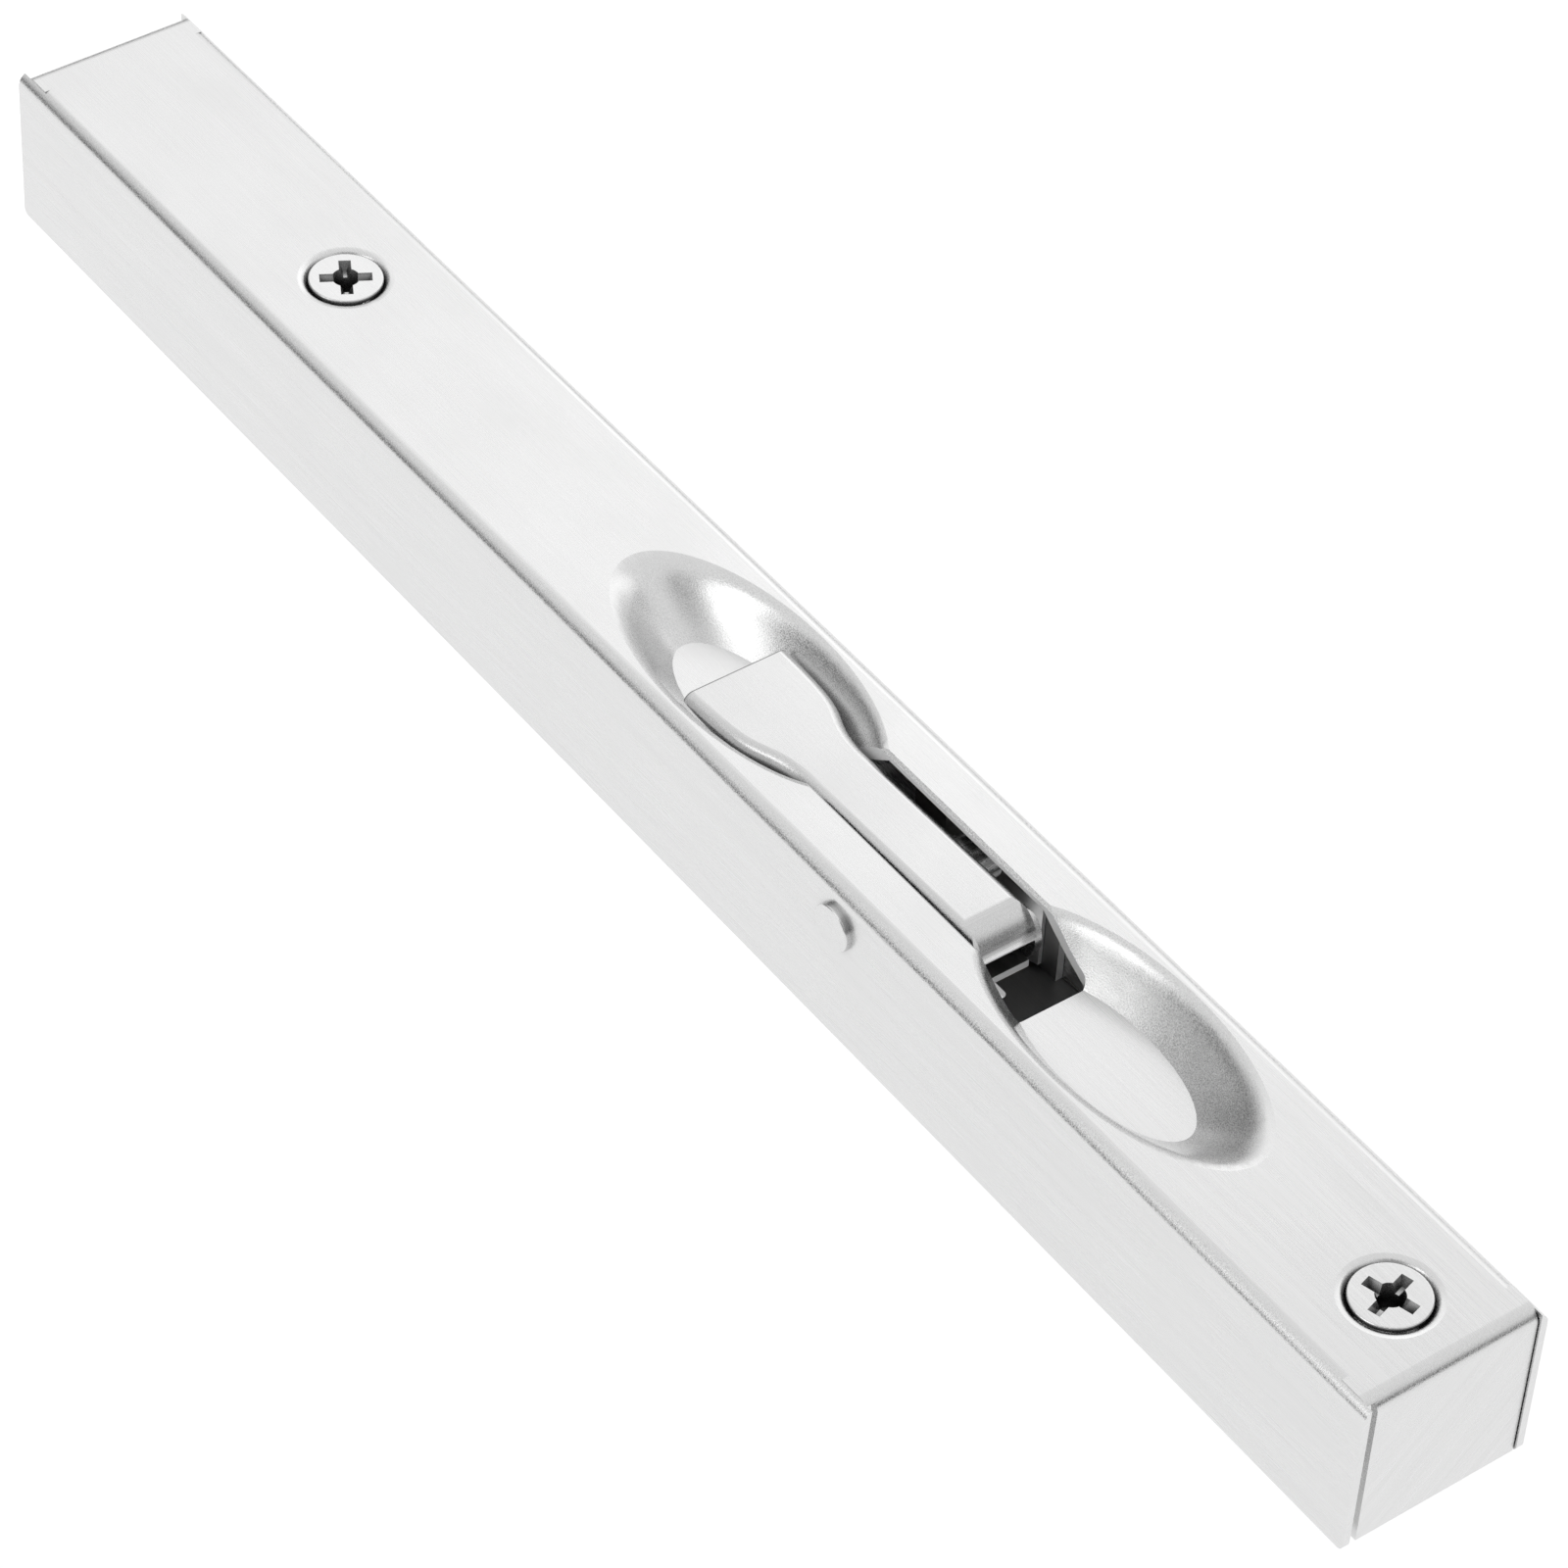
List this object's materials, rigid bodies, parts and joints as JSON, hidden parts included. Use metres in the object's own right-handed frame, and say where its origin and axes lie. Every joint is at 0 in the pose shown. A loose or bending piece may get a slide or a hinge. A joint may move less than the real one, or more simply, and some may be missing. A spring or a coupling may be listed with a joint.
{
  "type": "flush bolt",
  "caption": "Lever-action flush bolt: folded steel case with a pressed finger recess, a flip-over lever and a round bolt that slides out of one end.",
  "frame": {"origin": "middle of the front face's outline, on the face", "axes": "+X along the case away from the bolt's end, +Y across the case, +Z out of the front face"},
  "size_m": [0.2, 0.0202, 0.0249],
  "materials": {
    "case_steel": "brushed along the case",
    "lever_steel": "brushed along the lever",
    "inner_steel": "mill finish",
    "bolt_steel": "ground",
    "pin_steel": "turned, satin",
    "screw_steel": "satin",
    "spring_steel": "rolled"
  },
  "bodies": {
    "case": {"housing": "case_steel", "inner_channel": "inner_steel", "pivot_rivet": "pin_steel", "pivot_spacer_left": "pin_steel", "pivot_spacer_right": "pin_steel", "lever_washer_left": "pin_steel", "lever_washer_right": "pin_steel", "friction_leaf": "spring_steel", "bolt_guide": "inner_steel", "strip_guide_front": "inner_steel", "strip_guide_rear": "inner_steel", "near_screw": "screw_steel", "far_screw": "screw_steel"},
    "lever": {"lever": "lever_steel", "crank_liner": "inner_steel", "crank_rivet": "pin_steel"},
    "bolt": {"drive_strip": "bolt_steel", "bolt_rod": "bolt_steel", "bolt_rivets": "pin_steel", "stop_pin": "pin_steel"}
  },
  "joints": [
    {"name": "lever_flip", "type": "hinge", "parent": "case", "child": "lever", "pos_m": [0.0316, 0, -0.0043], "axis": [0, 1, 0], "range_deg": [0, 168]},
    {"name": "bolt_slide", "type": "slide", "parent": "case", "child": "bolt", "axis": [-1, 0, 0], "range_m": [0, 0.016]}
  ],
  "couplings": [
    {"joint": "lever_flip", "follows": "bolt_slide", "rad_per_m": 183.2}
  ]
}
